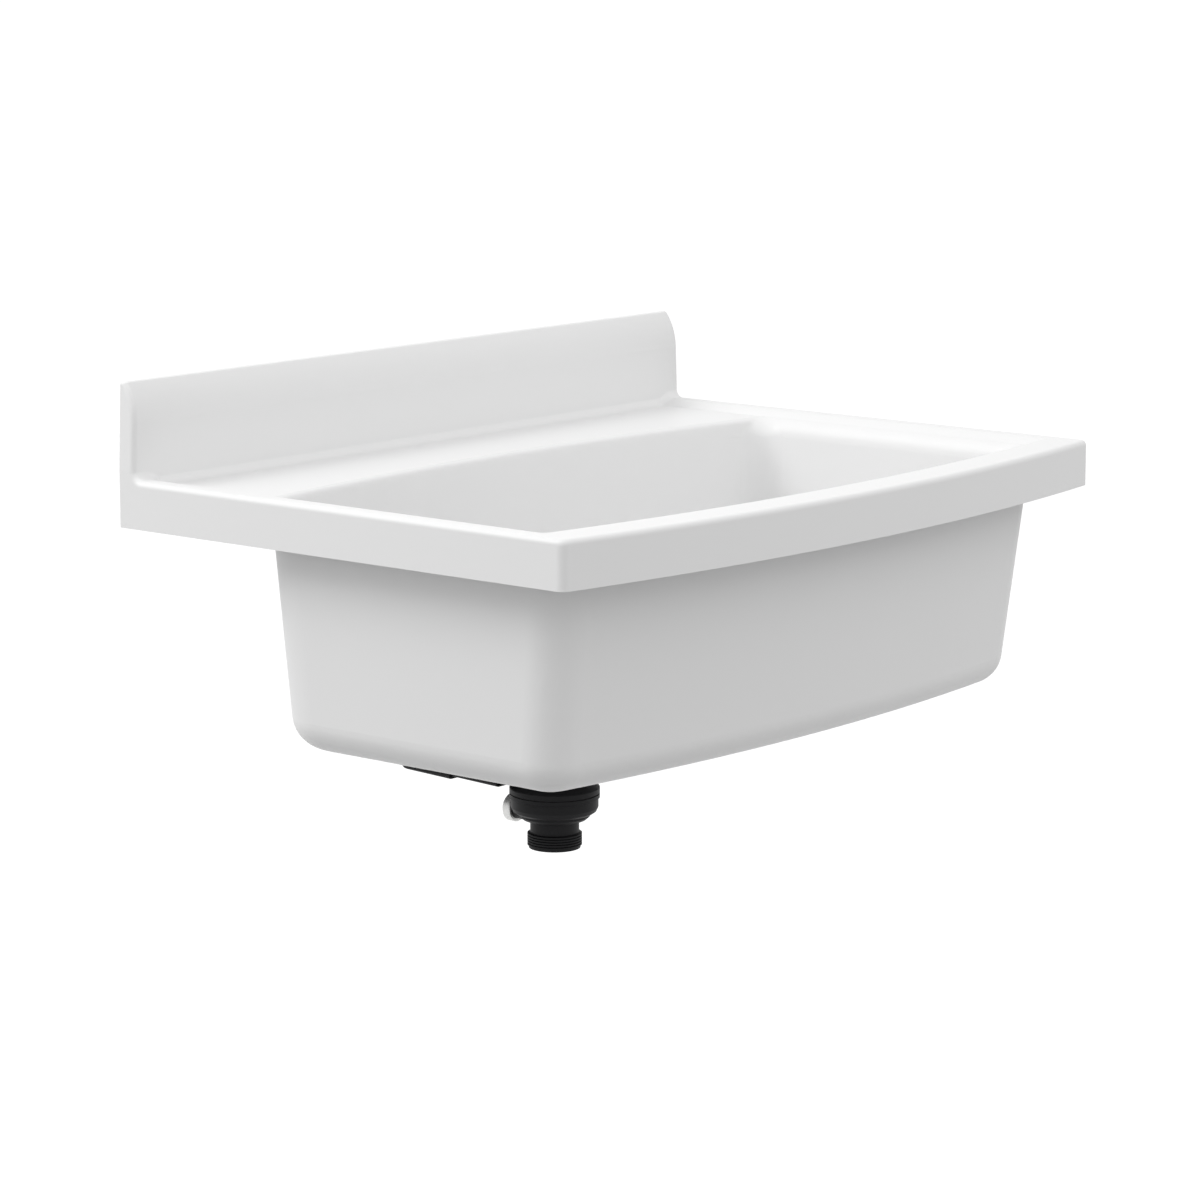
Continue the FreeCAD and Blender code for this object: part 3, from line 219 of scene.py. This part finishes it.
# %% [markdown]
# The silver cap
#
# The cap on the side spigot is silvery with soft edges to its highlights. Full metal
# would mirror the white stage and the black body beside it, and plain grey paint would
# look flat, so it stands half way: Metallic at a half, with a pale colour.

# %% Silver cap
material, tree, shader = new_finish("silver_cap", {
    "Base Color": (0.82, 0.82, 0.81, 1),
    "Metallic": 0.5,
    "Roughness": 0.36,
})
add_grain(tree, shader, object_place(tree), scale=1200, height=0.00001)
finishes["silver_cap"] = material
print("silver cap ready")

# %% [markdown]
# The knob
#
# The photo doesn't show the basket's knob, so it has the usual look of one: dark
# plastic that fingers keep polished. A low roughness gives it one small clear
# highlight, which tells it from the dull rubber under the basket.

# %% Knob
material, tree, shader = new_finish("knob_plastic", {
    "Base Color": (0.05, 0.05, 0.055, 1),
    "Roughness": 0.2,
    "IOR": 1.5,
})
vary_roughness(tree, shader, object_place(tree), scale=60, low=0.16, high=0.26)
finishes["knob_plastic"] = material
print("finishes:", ", ".join(sorted(finishes)))

# %% [markdown]
# Put the finishes on
#
# The record says which slot each node uses. Only the material in the slot changes;
# the meshes stay as the CAD made them.

# %% Assign finishes
for node, thing in frame["nodes"].items():
    for slot in thing.material_slots:
        slot.material = finishes[node_slot[node]]
print("finishes assigned to", len(frame["nodes"]), "nodes")

# %% [markdown]
# Straight rays
#
# Floor and sky have to look plain white and yet light the sink like a dimmer room.
# Light Path tells the two uses apart. This helper gives one for rays that come from
# the camera and for those that a shiny or clear surface passes on, so that steel shows
# the same white as the picture's ground, and nought for the rays that carry light.

# %% Helper for straight rays
def straight_rays(tree):
    """One where a ray comes straight from the camera or off a shiny or clear surface."""
    path = tree.nodes.new("ShaderNodeLightPath")
    mirrored = add_node(tree, "ShaderNodeMath", operation="MAXIMUM")
    either = add_node(tree, "ShaderNodeMath", operation="MAXIMUM")
    tree.links.new(path.outputs["Is Glossy Ray"], mirrored.inputs[0])
    tree.links.new(path.outputs["Is Transmission Ray"], mirrored.inputs[1])
    tree.links.new(path.outputs["Is Camera Ray"], either.inputs[0])
    tree.links.new(mirrored.outputs["Value"], either.inputs[1])
    return either.outputs["Value"]


print("helper for straight rays ready")

# %% [markdown]
# The floor
#
# The photo has no room: the sink hangs in plain white. A pale floor lies where a real
# one would, 0.85 m below the rim, and runs far enough back to pass for a backdrop. A
# curved backdrop would do the same, but one flat face is enough at this distance.

# %% Floor sheet
FLOOR_DROP = 0.85
FLOOR_HALF = 70

sheet = bmesh.new()
ends = (-FLOOR_HALF, FLOOR_HALF)
corners = [(ends[0], ends[0]), (ends[1], ends[0]), (ends[1], ends[1]), (ends[0], ends[1])]
sheet.faces.new([sheet.verts.new((x, y, -FLOOR_DROP)) for x, y in corners])
floor_mesh = bpy.data.meshes.new("floor")
sheet.to_mesh(floor_mesh)
sheet.free()
floor = bpy.data.objects.new("floor", floor_mesh)
bpy.context.scene.collection.objects.link(floor)
print("floor at", -FLOOR_DROP, "m")

# %% [markdown]
# The floor's white
#
# In the photo the lower part of the bowl is bright, as if light came up from below. A
# floor of this grey throws that much up. A darker floor leaves that part too grey, and
# a brighter one lifts the shade under the rim.
#
# A floor that is lit like the sink would look grey beside it, so straight rays see an
# even glow on top of the lit floor. The glow lights nothing, and a shadow on the floor
# still shows through it.

# %% Floor finish
FLOOR_COLOUR = (0.4, 0.4, 0.4, 1)
FLOOR_GLOW = 0.74

material, tree, shader = new_finish("pale_floor", {
    "Base Color": FLOOR_COLOUR,
    "Roughness": 0.9,
    "Specular IOR Level": 0.0,
    "Emission Color": (1, 1, 1, 1),
})
glow = add_node(tree, "ShaderNodeMath", operation="MULTIPLY")
glow.inputs[1].default_value = FLOOR_GLOW
tree.links.new(straight_rays(tree), glow.inputs[0])
tree.links.new(glow.outputs["Value"], shader.inputs["Emission Strength"])
floor_mesh.materials.append(material)
print("floor colour", FLOOR_COLOUR[0], "glow", FLOOR_GLOW)

# %% [markdown]
# Sky
#
# The world gives the soft part of the light, and most of it: the photo has no hard
# shadow. Seen straight it is plain white; for lighting it is a little greyer, so that
# the lamps can shape the edges without pushing the tops past white.

# %% World
SKY_LEVEL = 0.8

world = bpy.data.worlds.new("studio")
bpy.context.scene.world = world
world.use_nodes = True
tree = world.node_tree
tree.nodes.clear()
seen = add_node(tree, "ShaderNodeBackground", Color=(1, 1, 1, 1), Strength=1)
lighting = add_node(tree, "ShaderNodeBackground", Color=(1, 1, 1, 1), Strength=SKY_LEVEL)
choose = tree.nodes.new("ShaderNodeMixShader")
output = tree.nodes.new("ShaderNodeOutputWorld")
tree.links.new(straight_rays(tree), choose.inputs["Fac"])
tree.links.new(lighting.outputs["Background"], choose.inputs[1])
tree.links.new(seen.outputs["Background"], choose.inputs[2])
tree.links.new(choose.outputs["Shader"], output.inputs["Surface"])
print("sky level", SKY_LEVEL)

# %% [markdown]
# Lamps
#
# In the photo the rim's top is brightest, then the short side, then the long front. The
# ledge is greyer than the rim, so the main lamp can't stand in front: it stands behind
# and to the left, where the upstand shades the ledge and the short side is still lit. A
# weaker lamp in front lifts the long side. Both stand high enough for the rim to throw
# a soft shade on the bowl. Their levels came from pictures lit by one lamp at a time:
# light adds up, so a sum of such pictures shows what each mixture would look like.

# %% Lamps
LAMP_TARGET = (0, -0.3, -0.05)


def add_lamp(name, spot, across, power):
    """A square lamp that faces the sink, its width in metres and its power in watts."""
    data = bpy.data.lights.new(name, "AREA")
    data.shape = "SQUARE"
    data.size = across
    data.energy = power
    lamp = bpy.data.objects.new(name, data)
    lamp.location = spot
    lamp.rotation_euler = (Vector(LAMP_TARGET) - Vector(spot)).to_track_quat("-Z", "Y").to_euler()
    bpy.context.scene.collection.objects.link(lamp)
    print("lamp", name, power, "W")


add_lamp("left_back", spot=(-2.4, 1.4, 2.5), across=2.0, power=67)
add_lamp("front", spot=(0.6, -3.0, 2.6), across=2.6, power=25)

# %% [markdown]
# The photo's viewpoint
#
# The place and lens were worked out from the photo's own straight lines and corners,
# with the sink's size known. The view turns 50 degrees from the front and looks down
# 10 degrees, through a long lens. A camera rotation of 90 degrees about X looks level,
# so the tilt below is 80.

# %% Camera
CAMERA_PLACE = (-2.82395, -2.5886, 0.52854)
CAMERA_TILT = 79.973
CAMERA_TURN = -49.962
SENSOR_WIDTH_MM = 36
LENS_MM = 126.13
LENS_SHIFT = 0.0007
FURTHEST_SEEN = 200

lens = bpy.data.cameras.new("photo_view")
lens.sensor_width = SENSOR_WIDTH_MM
lens.lens = LENS_MM
lens.shift_x = LENS_SHIFT
lens.clip_end = FURTHEST_SEEN
camera = bpy.data.objects.new("photo_view", lens)
camera.location = CAMERA_PLACE
camera.rotation_euler = (math.radians(CAMERA_TILT), 0, math.radians(CAMERA_TURN))
bpy.context.scene.collection.objects.link(camera)
bpy.context.scene.camera = camera
bpy.context.scene.view_settings.view_transform = "Standard"
print("camera at", tuple(round(value, 3) for value in camera.location))

# %% [markdown]
# The end

# %% The end
print("scene ready")
